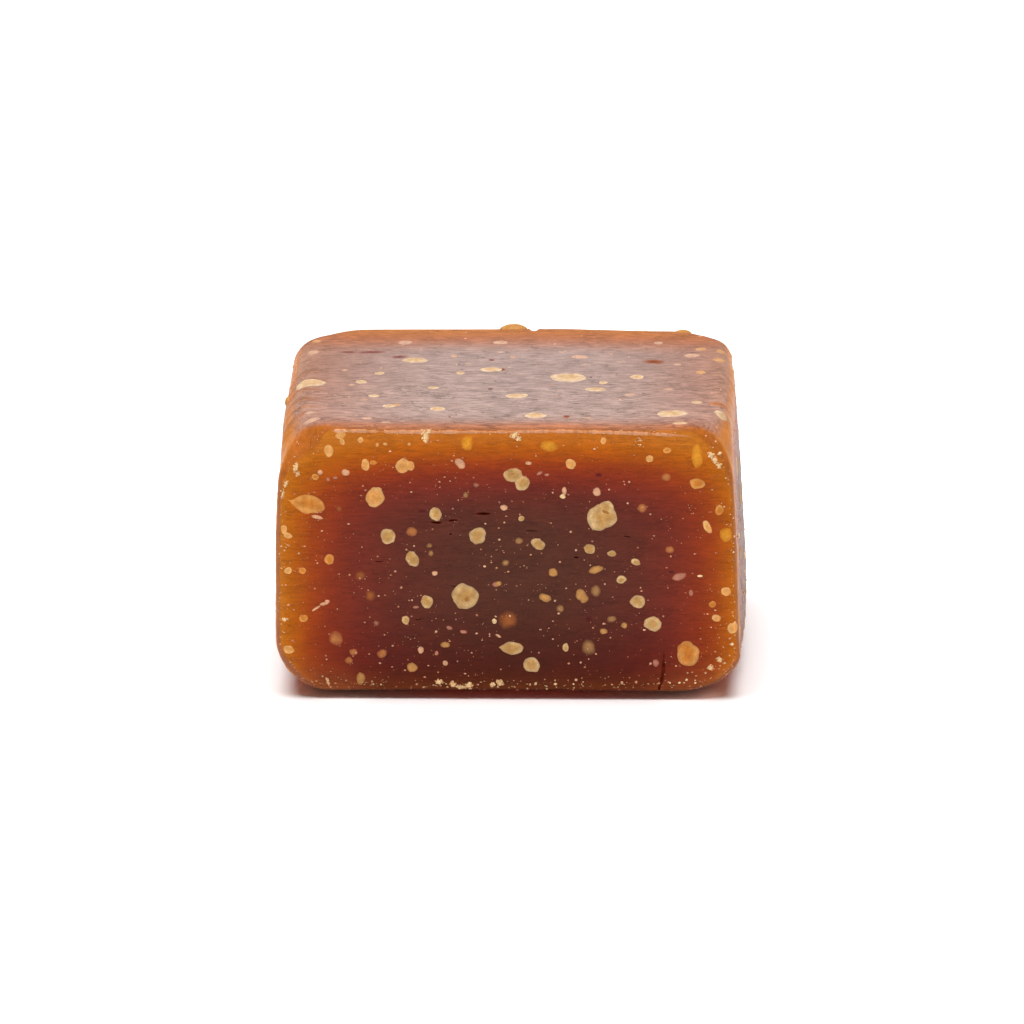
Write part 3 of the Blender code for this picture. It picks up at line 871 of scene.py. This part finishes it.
# The larger crumbs of the front face by kind: x, z, width, height in mm, and the turn in degrees, if any
FRONT_CRUMBS = {
    "spot": ((-5.6, 13.2, 0.9, 1.0, 20), (11.9, 24.6, 1.3, 0.5, -25), (0.1, 29.5, 1.1, 0.5)),
    "cream": (
        (11.4, 23.9, 3.7, 3.4, 20), (12.0, 25.1, 1.9, 1.9), (-5.8, 13.5, 3.3, 3.3),
        (0.3, 29.3, 2.4, 1.9, -10), (1.4, 28.3, 1.8, 2.0), (-4.2, 21.4, 2.1, 2.2), (17.9, 10.0, 2.2, 1.9),
        (2.6, 4.6, 2.2, 1.9), (-15.5, 21.3, 1.8, 2.1, 15), (-12.4, 18.3, 1.9, 1.6, -40),
        (-12.6, 18.8, 1.1, 1.2), (-9.5, 24.2, 1.6, 1.7), (3.4, 20.4, 1.8, 1.4, -25), (16.0, 12.9, 1.8, 1.8),
        (13.9, 15.8, 1.3, 1.0, 10), (9.9, 19.8, 1.4, 1.3), (12.7, 19.2, 1.1, 0.8),
        (15.7, 18.1, 1.3, 0.8, -25), (6.9, 6.9, 0.8, 1.1), (-10.6, 12.8, 1.6, 1.6), (-13.3, 10.4, 1.0, 1.1),
        (1.3, 23.7, 0.8, 0.7),
    ),
    "pink": (
        (-24.4, 23.8, 1.5, 0.5, -15), (-11.4, 6.5, 0.8, 0.9), (-8.3, 4.8, 0.7, 0.7),
        (-20.8, 29.6, 1.0, 0.9), (-6.4, 30.8, 1.1, 1.5, 35), (6.7, 27.3, 0.6, 1.1), (10.8, 27.2, 1.0, 1.1),
        (-0.9, 25.1, 0.9, 0.8), (-9.6, 16.5, 0.8, 0.6), (-1.6, 8.4, 0.8, 0.35, -30),
        (-24.6, 11.9, 1.3, 0.3, 35), (-23.6, 12.5, 1.2, 0.4, 12), (-23.2, 12.8, 0.6, 0.5),
        (-21.4, 35.0, 2.0, 0.5), (-24.0, 29.6, 0.7, 0.6), (2.2, 30.9, 0.8, 0.5),
    ),
    "amber": (
        (22.35, 6.1, 2.9, 3.2), (-22.9, 18.3, 1.3, 1.3), (-26.2, 10.6, 1.1, 1.0), (23.4, 28.3, 1.9, 1.4),
        (-17.3, 30.9, 0.9, 0.6), (19.6, 32.6, 1.0, 0.8), (26.2, 24.9, 1.0, 1.4, -15),
        (25.4, 12.6, 0.9, 0.9), (-26.3, 16.8, 0.9, 0.9), (-24.6, 29.0, 0.9, 0.8),
    ),
    "sunk": (
        (-0.4, 10.5, 2.6, 2.6), (-17.7, 13.6, 1.5, 1.4), (-19.0, 16.2, 1.4, 1.4), (-21.6, 24.9, 0.8, 0.8),
    ),
    "honey": (
        (-17.1, 26.4, 2.3, 2.6), (-13.6, 30.5, 1.9, 1.8), (-12.7, 30.5, 1.2, 1.2), (-22.9, 32.4, 1.2, 1.5),
        (-18.3, 30.6, 1.0, 1.6), (7.5, 30.8, 1.3, 1.3), (17.4, 31.5, 1.0, 0.9), (24.7, 22.7, 0.9, 1.8, 25),
        (27.1, 14.3, 1.2, 1.2), (25.9, 10.8, 1.2, 0.9), (28.1, 9.5, 1.6, 1.5, 30),
        (-28.6, 22.2, 0.8, 1.2, 10), (-28.1, 21.4, 1.2, 0.7, -15), (-28.1, 16.8, 1.0, 0.9),
        (-28.1, 6.5, 1.4, 1.1), (-18.9, 33.8, 0.7, 0.8), (-21.4, 34.4, 1.3, 0.9, 10),
        (-21.2, 33.6, 0.6, 0.9, 10), (11.6, 33.8, 0.7, 0.9), (-16.8, 33.2, 0.4, 0.5),
        (-15.8, 33.3, 0.5, 0.4), (-12.8, 33.3, 0.4, 0.4),
    ),
    "clay": (
        (-12.5, 21.9, 1.4, 1.3), (-22.1, 8.0, 1.8, 1.9), (-16.3, 6.0, 1.4, 1.1, 25), (-20.5, 5.1, 1.0, 1.0),
        (-19.9, 6.2, 1.1, 0.9), (19.5, 29.1, 1.2, 1.1), (16.5, 25.1, 1.3, 1.1), (20.0, 19.7, 1.1, 1.0),
    ),
    "dull": (
        (1.0, 20.8, 1.1, 0.9), (9.8, 6.9, 1.8, 2.1), (10.7, 14.3, 1.4, 1.5), (6.2, 12.0, 1.1, 1.0),
        (12.7, 10.6, 1.3, 0.9), (-5.7, 26.7, 0.8, 0.8), (-0.7, 17.9, 1.0, 0.9), (-10.3, 20.1, 0.8, 0.7),
        (-10.1, 19.1, 0.8, 0.8),
    ),
    "gold": (
        (8.8, 13.8, 1.3, 1.6, 20), (9.2, 13.3, 1.2, 1.1), (10.7, 17.1, 1.8, 1.0, 18), (5.3, 16.7, 1.2, 1.1),
        (4.3, 13.4, 1.7, 1.0, -20), (11.7, 9.0, 1.0, 0.8), (14.3, 9.8, 0.8, 0.8), (-12.5, 4.2, 1.4, 1.2),
        (-19.0, 2.7, 1.1, 1.7), (-8.3, 7.2, 1.2, 0.8), (-1.6, 15.2, 0.8, 0.7),
    ),
    "yellow": (
        (23.35, 31.9, 1.4, 3.2), (4.8, 33.1, 2.3, 1.5), (-5.5, 33.5, 1.6, 2.0), (27.1, 21.7, 1.8, 1.8),
    ),
    "rose": (
        (21.2, 16.2, 1.9, 0.9, 18), (-7.8, 9.4, 0.8, 0.5, -25), (-6.0, 8.9, 0.9, 0.5, -10),
        (-23.0, 28.7, 0.5, 0.5), (-22.1, 28.9, 0.6, 0.4), (3.6, 29.6, 0.9, 0.4, 30), (4.5, 29.4, 0.6, 0.4),
        (22.7, 14.1, 0.6, 0.8), (18.3, 4.9, 0.8, 1.0, 20), (-1.9, 15.1, 0.9, 0.7), (-12.0, 12.1, 0.8, 0.4),
        (-9.4, 6.1, 0.5, 0.6),
    ),
    "pale": ((6.5, 26.6, 0.7, 0.6), (-2.1, 10.3, 0.6, 0.7), (23.8, 16.3, 0.7, 0.3)),
    "faint": ((-4.4, 28.0, 0.8, 0.7), (-17.0, 10.0, 0.8, 0.8)),
    "blood": (
        (11.0, 29.4, 1.1, 0.7), (9.8, 10.6, 1.1, 0.9), (20.2, 16.8, 1.0, 0.5), (-11.2, 24.6, 1.6, 0.6),
    ),
}
# Crumbs that narrow to the left
TAPERED_CRUMBS = {"cream": ((0.0, 6.8, 3.0, 1.8),), "amber": ((-25.7, 25.5, 4.5, 2.5, -12),)}
TAPER = 0.75
# The crumbs of the top by kind: x, y, width, depth in mm, and the turn in degrees, if any
TOP_CRUMBS = {
    "top_cream": (
        (7.0, -2.0, 4.8, 4.6), (-26.2, -5.2, 4.1, 3.4), (20.2, -21.2, 3.7, 3.5), (-12.9, 6.9, 3.2, 2.6),
        (3.0, -22.5, 2.9, 2.4), (-3.0, 2.2, 2.8, 2.6), (0.5, -12.0, 2.8, 2.5), (10.5, -8.5, 2.6, 2.2),
        (-9.4, -18.9, 2.1, 1.8), (15.8, -2.0, 1.7, 2.3), (11.5, -4.9, 1.2, 1.5), (-17.3, 0.1, 1.3, 1.8),
        (-19.5, -4.7, 1.5, 1.9), (-17.7, -12.0, 1.4, 1.5), (-15.6, -17.3, 1.7, 1.5), (-6.9, 0.1, 1.2, 1.6),
        (23.4, -15.2, 1.5, 1.4), (26.7, -20.5, 2.0, 2.4), (21.2, -26.2, 1.9, 1.4), (-10.2, -8.0, 1.5, 1.3),
    ),
    "top_pink": (
        (8.4, 9.2, 2.2, 2.0), (-14.4, 16.8, 1.9, 2.2), (-2.0, 16.8, 1.9, 2.0), (-20.7, -6.3, 0.9, 1.0),
        (-18.9, -14.1, 1.1, 1.2), (-18.2, -24.1, 1.4, 1.2), (-15.8, -25.9, 1.2, 0.8),
        (-26.3, 11.3, 1.5, 2.2), (-7.9, 9.2, 1.1, 1.3), (14.9, -11.1, 1.4, 1.4), (19.8, -8.3, 1.3, 1.0),
        (22.9, 10.4, 2.1, 2.0), (9.6, -23.6, 1.0, 1.0), (-0.3, 9.2, 0.9, 1.2), (21.0, 5.3, 1.0, 1.4),
        (-21.8, 1.7, 0.9, 1.0), (-25.4, -24.1, 2.4, 1.5, -10), (-25.4, -21.5, 1.6, 1.0),
        (18.6, 17.2, 1.1, 1.5),
    ),
    "top_faint": (
        (9.2, 4.8, 1.3, 1.4), (-6.0, 5.3, 1.0, 1.2), (6.1, 11.8, 1.4, 1.4), (-2.0, 11.8, 1.4, 1.2),
        (13.8, 6.4, 1.6, 1.4),
    ),
    "top_amber": (
        (-14.6, -16.9, 1.0, 1.2), (-26.0, 16.9, 1.2, 1.6), (24.0, 1.1, 1.4, 1.8), (24.1, 13.6, 1.6, 1.6),
        (26.5, 7.9, 2.0, 1.8), (26.8, 12.5, 1.5, 1.6), (16.4, 24.8, 2.0, 2.4),
    ),
    "top_red": ((18.0, 6.6, 3.2, 3.0), (6.9, -23.1, 1.1, 1.5), (-1.5, 2.2, 0.8, 1.6)),
    "top_dark": ((-18.6, 11.5, 5.0, 1.9, 4), (-15.0, 8.8, 2.8, 2.0, -4), (-21.6, 11.5, 3.0, 1.5, -6)),
    "top_rust": ((26.3, -15.8, 3.4, 2.3),),
}
SPECK_COLOURS = (srgb(226, 162, 128), srgb(232, 182, 146), srgb(206, 132, 100), srgb(218, 150, 108))
CRUST_COLOURS = (srgb(238, 194, 140), srgb(244, 212, 164), srgb(216, 154, 104), srgb(226, 172, 126))

# The faces: a point in the middle, and the way to the right and the upper edge
HALF_X, HALF_Y, HALF_Z = Vector((WIDTH / 2, 0, 0)), Vector((0, DEPTH / 2, 0)), Vector((0, 0, HEIGHT / 2))
FACES = {
    "front": (HALF_Z - HALF_Y, HALF_X, HALF_Z),
    "right": (HALF_Z + HALF_X, HALF_Y, HALF_Z),
    "back": (HALF_Z + HALF_Y, -HALF_X, HALF_Z),
    "left": (HALF_Z - HALF_X, -HALF_Y, HALF_Z),
    "top": (HALF_Z * 2, HALF_X, HALF_Y),
}
HIDDEN_FACES = ("right", "back", "left")
CRUMBS_PER_HIDDEN_FACE = 90
# Random crumbs keep off the shoulders seen in front: above this height and in front of this depth
SHOULDER_FROM = 0.78 * HEIGHT
SHOULDER_TO_Y = 10.0 * MM
SPECKS_PER_FACE = {"front": 2000, "right": 1300, "back": 1300, "left": 1300, "top": 130}
# The smallest and the largest speck in mm, how far apart their crowds are, and where more of them lie
SPECK_SIZES = (0.12, 0.42)
SPECK_CROWD = 5.0 * MM
SPECKY_FROM_X = 23.0 * MM


def on_front(x, z):
    """A point on the front face from its place in mm."""
    return Vector((x * MM, -DEPTH / 2, z * MM))


def place_on(face, rng, reach=0.93):
    """A random place on a face, and how near it is to the sides and the upper edge, up to 1."""
    middle, along, up = FACES[face]
    u, v = rng.uniform(-reach, reach), rng.uniform(-reach, reach)
    return middle + along * u + up * v, max(abs(u), v)


def scattered_crumbs(face, count, rng):
    """Random crumbs, few large and many small, that keep clear of each other."""
    taken = []
    for index in range(count):
        size = 0.7 + 2.9 * (1.0 - index / count) ** 5
        for _ in range(30):
            at, nearness = place_on(face, rng)
            on_shoulder = at.z > SHOULDER_FROM and at.y < SHOULDER_TO_Y
            clear = all((at - other).length > (size + other_size) * 0.6 * MM for other, other_size in taken)
            if clear and not on_shoulder:
                break
        taken.append((at, size))
        kind = rng.choice(OUTER_KINDS if nearness > rng.uniform(0.7, 0.9) else INNER_KINDS)
        yield at, kind, size * rng.uniform(0.85, 1.2), size * rng.uniform(0.7, 1.05), rng.uniform(-40, 40)


def make_crumbs(skin, rng):
    """The crumbs seen on the front and the top, and random ones on the hidden sides."""
    light, amber, red = Pile(), Pile(), Pile()

    def lay(at, kind, width, height, turn=0, taper=0.0):
        spokes = 32 if max(width, height) > 2.0 else 20 if max(width, height) > 1.0 else 14
        pile = amber if kind in AMBER_KINDS else red if kind in RED_KINDS else light
        lay_crumb(pile, skin, at, width, height, turn, kind, rng, spokes, taper)

    for table, taper in ((FRONT_CRUMBS, 0.0), (TAPERED_CRUMBS, TAPER)):
        for kind, crumbs in table.items():
            for x, z, *shape in crumbs:
                lay(on_front(x, z), kind, *shape, taper=taper)
    for kind, crumbs in TOP_CRUMBS.items():
        for x, y, *shape in crumbs:
            lay(Vector((x * MM, y * MM, HEIGHT)), kind, *shape)
    for face in HIDDEN_FACES:
        for crumb in scattered_crumbs(face, CRUMBS_PER_HIDDEN_FACE, rng):
            lay(*crumb)

    light.piece("cream_crumbs", "cream_sugar", 0.04 * MM)
    amber.piece("amber_crumbs", "amber_sugar", 0.02 * MM)
    red.piece("red_flecks", "red_fleck", 0.02 * MM, slot="jaggery")


def lay_grain(pile, skin, at, width, height, rise, turn, colour, rng, spokes=7):
    """Lays one small irregular grain."""
    middle, outward, turned, upward = skin.frame(at, turn)
    points = [middle + outward * rise]
    for ring, lift in ((0.6, 0.75 * rise), (1.0, -0.04 * MM)):
        for spoke in range(spokes):
            angle = math.tau * spoke / spokes
            out = ring * rng.uniform(0.75, 1.2)
            u, v = out * math.cos(angle) * width / 2, out * math.sin(angle) * height / 2
            points.append(middle + turned * u + upward * v + outward * lift)
    tone = rng.uniform(0.9, 1.08)
    pile.add(points, dome_faces(2, spokes), [colour * tone] * len(points))


def make_specks(skin, rng):
    """The finest sugar grains, strewn over every face but the underside."""
    pile = Pile()
    for face, count in SPECKS_PER_FACE.items():
        for _ in range(count):
            at, _ = place_on(face, rng, 0.97)
            crowd = 0.5 + 0.9 * noise.noise(at / SPECK_CROWD) + 0.25 * (1.0 - 2.0 * at.z / HEIGHT)
            crowd += 0.4 * (abs(at.x) > SPECKY_FROM_X)
            if face != "top" and rng.random() > crowd:
                continue
            size = blend(*SPECK_SIZES, rng.random() ** 4) * MM
            faded = rng.choice(SPECK_COLOURS) * rng.uniform(0.7, 1.05)
            lay_grain(pile, skin, at, size, size * rng.uniform(0.6, 1.0), size * 0.25, 0.0, faded, rng)
    pile.piece("sugar_specks", "speck_sugar", 0.01 * MM)


# The line of crust, as shares of the way from the middle of the front face to its sides and ends
RIM_PATH = (0.965, 0.937)
RIM_STEPS = 600
# Crust along the front rim: how far apart its grains are, and their smallest and largest size, in mm
CREST_CRUST = (0.26, 0.12, 0.30)
FOOT_CRUST = (0.34, 0.12, 0.42)
RIGHT_CRUST = (0.50, 0.12, 0.34)
LEFT_CRUST = (0.70, 0.12, 0.36)
CORNER_CRUST = (0.60, 0.14, 0.40)
# How far its grains stray from the line
CREST_SPREAD = 0.12 * MM
CRUST_SPREAD = 0.32 * MM
CLUMP_SIZE = 2.2 * MM
# Painted shade: the crust along the foot is darker
FOOT_CRUST_SHADE = 0.74
CORNER_FROM_X = 20.0 * MM
CORNER_TO_Z = 9.0 * MM
FOOT_TO_Z = 5.0 * MM
CREST_FROM_Z = HEIGHT - 4.0 * MM
CREST_REACH = 21.5 * MM
CREST_END = CREST_REACH + 2.0 * MM
CREST_FADE = 3.0 * MM
CREST_SAG = 0.4 * MM
CREST_COLOUR = srgb(216, 154, 116)
# The crest from side to side: how far across, and how far it stands out, as shares
CREST_SECTION = ((-1.0, -0.3), (-0.5, 0.8), (0.0, 1.0), (0.5, 0.8), (1.0, -0.3))


def rim_path(cube):
    """The line where the front face meets its rim, all the way round from the lower left."""
    run = np.linspace(-1.0, 1.0, RIM_STEPS)
    one = np.ones(RIM_STEPS)
    u = np.concatenate([run, one, -run, -one]) * RIM_PATH[0]
    v = np.concatenate([-one, run, one, -run]) * RIM_PATH[1]
    path = np.stack([u, -np.ones(len(u)), v], axis=1)
    return block_surface(np.concatenate([path, cube]))[: len(path)]


def crust_at(x, z):
    """What crust the rim has at a place."""
    if z > CREST_FROM_Z:
        return CREST_CRUST if abs(x) < CREST_REACH else None
    if x > CORNER_FROM_X and z < CORNER_TO_Z:
        return CORNER_CRUST
    if z < FOOT_TO_Z:
        return FOOT_CRUST
    return RIGHT_CRUST if x > 0.0 else LEFT_CRUST


# Larger bits of crust on the front rim: x, z, width, height in mm, and the turn in degrees, if any
CRUST_BITS = (
    (-11.0, 35.0, 1.0, 0.7), (-10.3, 35.0, 0.9, 0.7), (-10.7, 34.3, 1.1, 1.1), (-10.7, 33.7, 0.5, 0.6),
    (0.4, 34.5, 1.2, 0.8, 20), (0.9, 34.1, 0.6, 0.6), (25.1, 32.1, 0.9, 0.7, -20),
    (26.5, 32.4, 0.8, 0.4, 25), (25.6, 31.4, 0.7, 1.2, 25), (26.1, 30.7, 0.8, 0.8),
    (-27.1, 30.3, 0.6, 1.4, -15), (-26.8, 29.4, 0.6, 0.6), (-28.3, 28.1, 0.4, 0.9, -25),
    (-28.8, 26.8, 0.3, 1.4, -15), (-28.6, 10.4, 0.9, 0.5), (-7.4, 2.0, 1.1, 0.7, -25),
    (-6.4, 1.6, 1.5, 0.6), (-5.3, 1.9, 1.0, 0.9, 30), (-9.1, 2.3, 1.1, 0.7), (-1.5, 2.2, 0.8, 1.1),
    (-2.4, 2.0, 0.7, 0.5), (-23.2, 2.4, 0.4, 0.8, 20), (26.3, 5.4, 0.8, 0.7, -30),
    (25.2, 4.3, 0.8, 0.7, 20),
)
# Single grains of crust at the lower right corner and along the foot: x, z, size in mm
CRUST_DOTS = (
    (22.2, 2.7, 0.4), (21.3, 2.3, 0.4), (20.1, 2.3, 0.3), (22.9, 3.7, 0.3), (24.6, 3.6, 0.4),
    (25.8, 6.4, 0.3), (26.8, 7.0, 0.3), (28.0, 7.4, 0.5), (27.6, 5.9, 0.3), (27.0, 4.9, 0.4),
    (28.5, 8.5, 0.35), (28.5, 10.2, 0.35), (28.1, 11.1, 0.3), (15.8, 2.4, 0.4), (14.0, 2.3, 0.4),
    (5.6, 2.1, 0.5), (3.1, 2.1, 0.5), (7.9, 2.1, 0.3),
)
BIT_GRAINS = 12
# A loose cluster of crust grains high on the right: x, z, radius in mm
CRUST_CLUSTER = (16.1, 33.5, 0.6)
CLUSTER_GRAINS = 16


def lay_crest(pile, skin, path):
    """The thin dry ridge where the top bends down into the front face."""
    points, colours = [], []
    for place in path[(path[:, 2] > CREST_FROM_Z) & (abs(path[:, 0]) < CREST_END)]:
        sag = CREST_SAG * max(place[0] / CREST_REACH, 0.0) ** 4
        here, outward, tint = skin.at(Vector(place) - Vector((0.0, 0.0, sag)))
        size = 0.8 + 0.5 * noise.noise(here / (1.6 * MM)) + 0.4 * noise.noise(here / (0.35 * MM))
        size = max(size, 0.1) * smooth((CREST_END - abs(place[0])) / CREST_FADE)
        for across, lift in CREST_SECTION:
            wide = Vector((0.0, 0.0, across * size * 0.28 * MM))
            points.append(here + wide + outward * (lift * size * 0.09 * MM))
            colours.append(blend(tint, CREST_COLOUR, min(size, 1.0) * (1.0 - 0.5 * abs(across))))
    count = len(CREST_SECTION)
    starts = [at for at in range(len(points) - count - 1) if at % count < count - 1]
    pile.add(points, [(at, at + 1, at + count + 1, at + count) for at in starts], colours)


def lay_crust_along(path, pile, skin, rng):
    """Strews crust grains along the rim, in clumps."""
    lengths = np.linalg.norm(np.diff(path, axis=0), axis=1)
    to_next = 0.0
    for place, length in zip(path, lengths):
        crust = crust_at(place[0], place[2])
        to_next -= length
        if crust is None or to_next > 0.0:
            continue
        spacing, low, high = crust
        gaps = math.exp(1.6 * noise.noise(Vector(place) / CLUMP_SIZE))
        to_next = spacing * MM * rng.uniform(0.4, 1.6) * gaps
        size = blend(low, high, rng.random() ** 2) * MM
        spread = CREST_SPREAD if crust is CREST_CRUST else CRUST_SPREAD
        at = Vector(place) + Vector((rng.gauss(0.0, spread), 0.0, rng.gauss(0.0, spread)))
        tall = size * rng.uniform(0.45, 0.9)
        # Painted shade on the crust along the foot
        dim = FOOT_CRUST_SHADE if crust is FOOT_CRUST else 1.0
        colour = rng.choice(CRUST_COLOURS) * rng.uniform(0.75, 1.0) * dim
        lay_grain(pile, skin, at, size, tall, size * 0.35, rng.uniform(-30, 30), colour, rng, 9)


def make_crust(skin, cube, rng):
    """The dry sugar crust along the front face's rim."""
    pile = Pile()
    path = rim_path(cube)
    lay_crest(pile, skin, path)
    lay_crust_along(path, pile, skin, rng)

    def lay_dot(x, z, size):
        colour = rng.choice(CRUST_COLOURS) * rng.uniform(0.85, 1.05)
        tall = size * rng.uniform(0.6, 1.0) * MM
        turn = rng.uniform(-60, 60)
        lay_grain(pile, skin, on_front(x, z), size * MM, tall, size * 0.4 * MM, turn, colour, rng, 9)

    x, z, radius = CRUST_CLUSTER
    for _ in range(CLUSTER_GRAINS):
        angle, out = rng.uniform(0.0, math.tau), radius * rng.uniform(0.3, 1.2)
        lay_dot(x + out * math.cos(angle), z + out * math.sin(angle), rng.uniform(0.14, 0.36))
    for dot in CRUST_DOTS:
        lay_dot(*dot)
    for x, z, width, height, *turns in CRUST_BITS:
        turn, at = sum(turns), on_front(x, z)
        lay_crumb(pile, skin, at, width * 0.75, height * 0.75, turn, "pale", rng, 16, wander=CRUST_WANDER)
        lean = Matrix.Rotation(math.radians(turn), 2)
        for _ in range(BIT_GRAINS):
            angle, out = rng.uniform(0.0, math.tau), 0.5 * math.sqrt(rng.uniform(0.2, 1.0))
            u, v = lean @ Vector((out * width * math.cos(angle), out * height * math.sin(angle)))
            lay_dot(x + u, z + v, rng.uniform(0.16, 0.4))
    pile.piece("sugar_crust", "crust_sugar", 0.03 * MM)


# Amber lumps that stand out of the edges of the top: the middle and the full sizes in mm
LUMPS = (
    ((-0.4, 25.2, 35.3), (3.8, 3.0, 1.7)),
    ((21.8, 23.9, 35.1), (2.4, 2.4, 1.3)),
    ((-28.7, -5.0, 33.0), (1.2, 2.6, 1.5)),
)
LUMP_COLOUR = srgb(176, 122, 62)


def make_lumps():
    pile = Pile()
    for middle, size in LUMPS:
        bm = bmesh.new()
        place = Matrix.Translation(Vector(middle) * MM) @ Matrix.Diagonal((*(Vector(size) * MM), 1.0))
        bmesh.ops.create_icosphere(bm, subdivisions=4, radius=0.5, matrix=place)
        for vertex in bm.verts:
            vertex.co += vertex.normal * noise.noise(vertex.co / (0.9 * MM)) * 0.08 * MM
        faces = [tuple(vertex.index for vertex in face.verts) for face in bm.faces]
        pile.add([vertex.co.copy() for vertex in bm.verts], faces, [LUMP_COLOUR] * len(bm.verts))
        bm.free()
    pile.piece("amber_lumps", "amber_lump", 0.03 * MM)


# ---- studio
SURROUND_LIGHT = 0.15
LAMP_SIZE = (1.0, 1.0)
LAMP_AT = Vector((-0.04, -0.02, 0.95))
LAMP_WATTS = 18.0
SOAKED_COLOUR = (1.0, 0.055, 0.006)
SOAKED_WATTS = 0.020
SOAKED_SIZE = (WIDTH - 11.0 * MM, DEPTH - 4.0 * MM)
CORNER_LIGHTS_AT_X = (-21.0 * MM, 21.5 * MM)
CORNER_LIGHTS_INSET = 3.2 * MM
CORNER_SIZE = (9.0 * MM, 9.0 * MM)
CORNER_COLOUR = (1.0, 0.62, 0.55)
CORNER_WATTS = 0.00013
FLOOR_LIGHT_RISE = Vector((0.0, 0.0, 1.5 * MM))


def make_floor():
    bpy.ops.mesh.primitive_plane_add(size=6.0)
    floor = bpy.context.object
    floor.name = "floor"
    nodes = Nodes("floor", roughness=0.9, specular=0.0)
    nodes.feed(nodes.shader, Base_Color=(0.93, 0.93, 0.93, 1.0))
    floor.data.materials.append(nodes.material)
    return floor


def look(obj, at, towards):
    """Puts a lamp or the camera in the scene, facing a point."""
    obj.location = at
    obj.rotation_euler = (towards - at).to_track_quat("-Z", "Y").to_euler()
    bpy.context.scene.collection.objects.link(obj)


def add_area_light(name, shape, size, watts, at, towards, colour=(1.0, 1.0, 1.0)):
    light = bpy.data.lights.new(name, "AREA")
    light.shape, light.energy, light.color = shape, watts, colour
    light.size, light.size_y = size
    lamp = bpy.data.objects.new(name, light)
    look(lamp, at, towards)
    return lamp


def make_lights(floor):
    """A soft lamp overhead, a dim surround, and the light that soaks through the block to the floor."""
    world = bpy.data.worlds.new("studio")
    world.use_nodes = True
    background = world.node_tree.nodes["Background"]
    background.inputs["Color"].default_value = (1.0, 1.0, 1.0, 1.0)
    background.inputs["Strength"].default_value = SURROUND_LIGHT
    bpy.context.scene.world = world
    add_area_light("overhead", "DISK", LAMP_SIZE, LAMP_WATTS, LAMP_AT, Vector())

    only_floor = bpy.data.collections.new("only_floor")
    only_floor.objects.link(floor)
    lamps = [("soaked_light", "RECTANGLE", SOAKED_SIZE, SOAKED_WATTS, Vector(), SOAKED_COLOUR)]
    for x in CORNER_LIGHTS_AT_X:
        foot = Vector((x, CORNER_LIGHTS_INSET - DEPTH / 2, 0.0))
        lamps.append(("corner_light", "DISK", CORNER_SIZE, CORNER_WATTS, foot, CORNER_COLOUR))
    for name, shape, size, watts, foot, colour in lamps:
        lamp = add_area_light(name, shape, size, watts, foot + FLOOR_LIGHT_RISE, foot, colour)
        lamp.visible_camera = False
        lamp.light_linking.receiver_collection = only_floor
        lamp.light_linking.blocker_collection = only_floor


CAMERA_ELEVATION = math.radians(14.6)
CAMERA_AZIMUTH = math.radians(0.8)
CAMERA_DISTANCE = 1.14
CAMERA_LENS = 310.6
ORBIT_POINT = Vector((0.0, 0.0, 18.0 * MM))
AIM_POINT = Vector((-0.27 * MM, 0.0, 17.27 * MM))


def make_camera():
    camera = bpy.data.cameras.new("camera")
    camera.lens = CAMERA_LENS
    camera.clip_end = 20.0
    obj = bpy.data.objects.new("camera", camera)
    level = math.cos(CAMERA_ELEVATION)
    across, back = math.sin(CAMERA_AZIMUTH) * level, math.cos(CAMERA_AZIMUTH) * level
    towards_camera = Vector((across, -back, math.sin(CAMERA_ELEVATION)))
    look(obj, ORBIT_POINT + towards_camera * CAMERA_DISTANCE, AIM_POINT)
    bpy.context.scene.camera = obj


SEED = 11

make_camera()
make_lights(make_floor())
block, cube_places = make_block()
skin = Skin(block)
draws = random.Random(SEED)
make_crumbs(skin, draws)
make_specks(skin, draws)
make_crust(skin, cube_places, draws)
make_lumps()
bpy.context.scene.view_settings.view_transform = "Standard"
